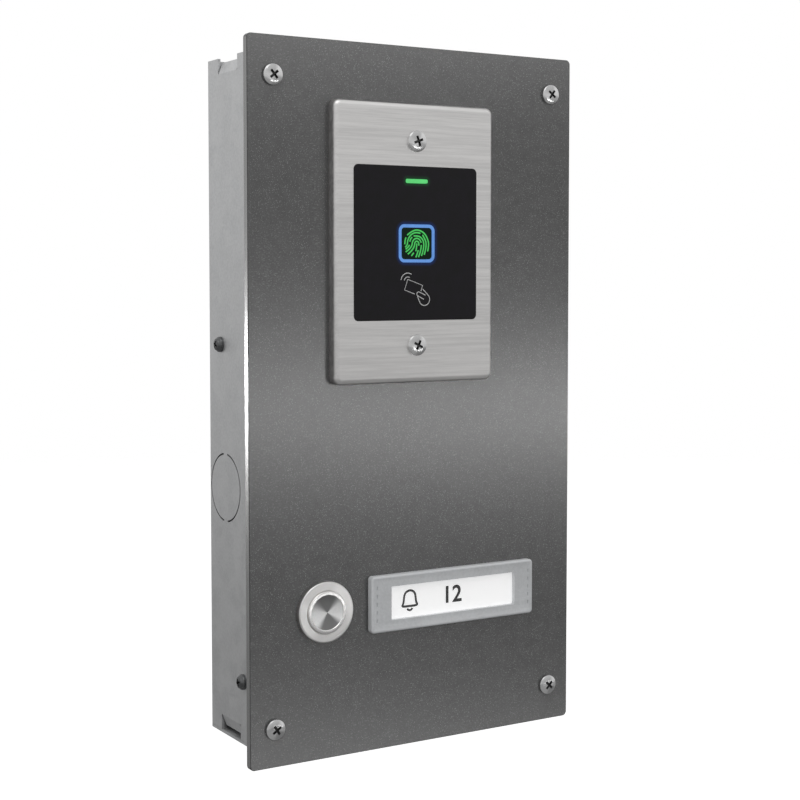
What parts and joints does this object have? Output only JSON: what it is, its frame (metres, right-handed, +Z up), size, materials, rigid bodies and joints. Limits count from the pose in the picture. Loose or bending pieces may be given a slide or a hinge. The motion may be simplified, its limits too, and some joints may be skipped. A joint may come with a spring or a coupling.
{
  "type": "fingerprint scanner terminal",
  "caption": "Wall-mounted door terminal: a metal front plate with a fingerprint and card reader, a bell button and a lit name plate, on a shallow sheet-metal back box.",
  "frame": {"origin": "centre of the back box's rear face, which lies on the wall", "axes": "+X to the right seen from the front, +Z up, the front faces -Y"},
  "size_m": [0.156, 0.0579, 0.29],
  "materials": {
    "galvanised_sheet": "spangled zinc, satin",
    "mica_paint": "dark grey mica paint, satin",
    "brushed_stainless": "fine horizontal brushing",
    "turned_stainless": "turned, bright",
    "zinc_steel": "bright zinc plating",
    "black_window": "deep black, semi gloss",
    "blue_light_guide": "lit, translucent",
    "green_light_guide": "lit, translucent",
    "sensor_pad": "hard coated, dark",
    "black_plastic": "moulded, fine grain",
    "frosted_clear": "frosted clear plastic",
    "white_plastic": "moulded",
    "label_card": "plain white card",
    "black_rubber": "soft",
    "foam_seal": "closed-cell foam",
    "circuit_board": "green solder mask",
    "copper_wire": "enamelled copper",
    "brass_contact": "plain",
    "component_black": "moulded epoxy",
    "lamp_white": "clear epoxy over phosphor",
    "terminal_green": "moulded",
    "spring_steel": "drawn wire",
    "grey_cable": "vinyl sheath",
    "red_wire": "vinyl insulation",
    "yellow_wire": "vinyl insulation",
    "earth_green_wire": "vinyl insulation"
  },
  "bodies": {
    "terminal": {"left_side_sheet": "galvanised_sheet", "box_back_sheet": "galvanised_sheet", "right_side_sheet": "galvanised_sheet", "box_top_panel": "galvanised_sheet", "box_bottom_panel": "galvanised_sheet", "cable_grommet": "black_rubber", "left_fixing_rail": "galvanised_sheet", "right_fixing_rail": "galvanised_sheet", "clinch_nuts": "zinc_steel", "rail_screws": "zinc_steel", "carrier_screws": "zinc_steel", "plate_seal": "foam_seal", "front_plate": "mica_paint", "plate_screws": "turned_stainless", "gang_plate": "brushed_stainless", "gang_screws": "turned_stainless", "mounting_strap": "zinc_steel", "reader_window": "black_window", "sensor_light_ring": "blue_light_guide", "finger_sensor": "sensor_pad", "sensor_module": "zinc_steel", "status_light_bar": "green_light_guide", "reader_housing": "black_plastic", "reader_seal": "black_rubber", "reader_board": "circuit_board", "antenna_coil": "copper_wire", "reader_components": "component_black", "buzzer": "component_black", "reader_connector": "white_plastic", "reader_back_cover": "black_plastic", "reader_cable": "grey_cable", "button_housing": "turned_stainless", "button_seal": "black_rubber", "button_washer": "zinc_steel", "button_nut": "zinc_steel", "switch_base": "black_plastic", "switch_terminals": "brass_contact", "button_wires": "red_wire", "name_label": "label_card", "name_holder": "white_plastic", "name_light_board": "circuit_board", "name_leds": "lamp_white", "light_wires": "yellow_wire", "board_carrier": "galvanised_sheet", "board_spacers": "brass_contact", "inner_screws": "zinc_steel", "control_board": "circuit_board", "terminal_blocks": "terminal_green", "terminal_screws": "zinc_steel", "relay": "component_black", "control_components": "component_black", "stud_nuts": "zinc_steel", "earth_lugs": "brass_contact", "earth_wire": "earth_green_wire"},
    "button": {"button_cap": "turned_stainless", "button_stem": "black_plastic", "button_clip": "spring_steel", "contact_bridge": "brass_contact", "button_spring": "spring_steel"},
    "name_cover": {"name_cover": "frosted_clear"}
  },
  "joints": [
    {"name": "button_press", "type": "slide", "parent": "terminal", "child": "button", "axis": [0, 1, 0], "range_m": [0, 0.0016], "stiffness_N_per_m": 1500, "springref_m": -0.001, "deforming": ["button_spring"]},
    {"name": "name_cover_pull", "type": "slide", "parent": "terminal", "child": "name_cover", "axis": [0, -1, 0], "range_m": [0, 0.018]}
  ]
}
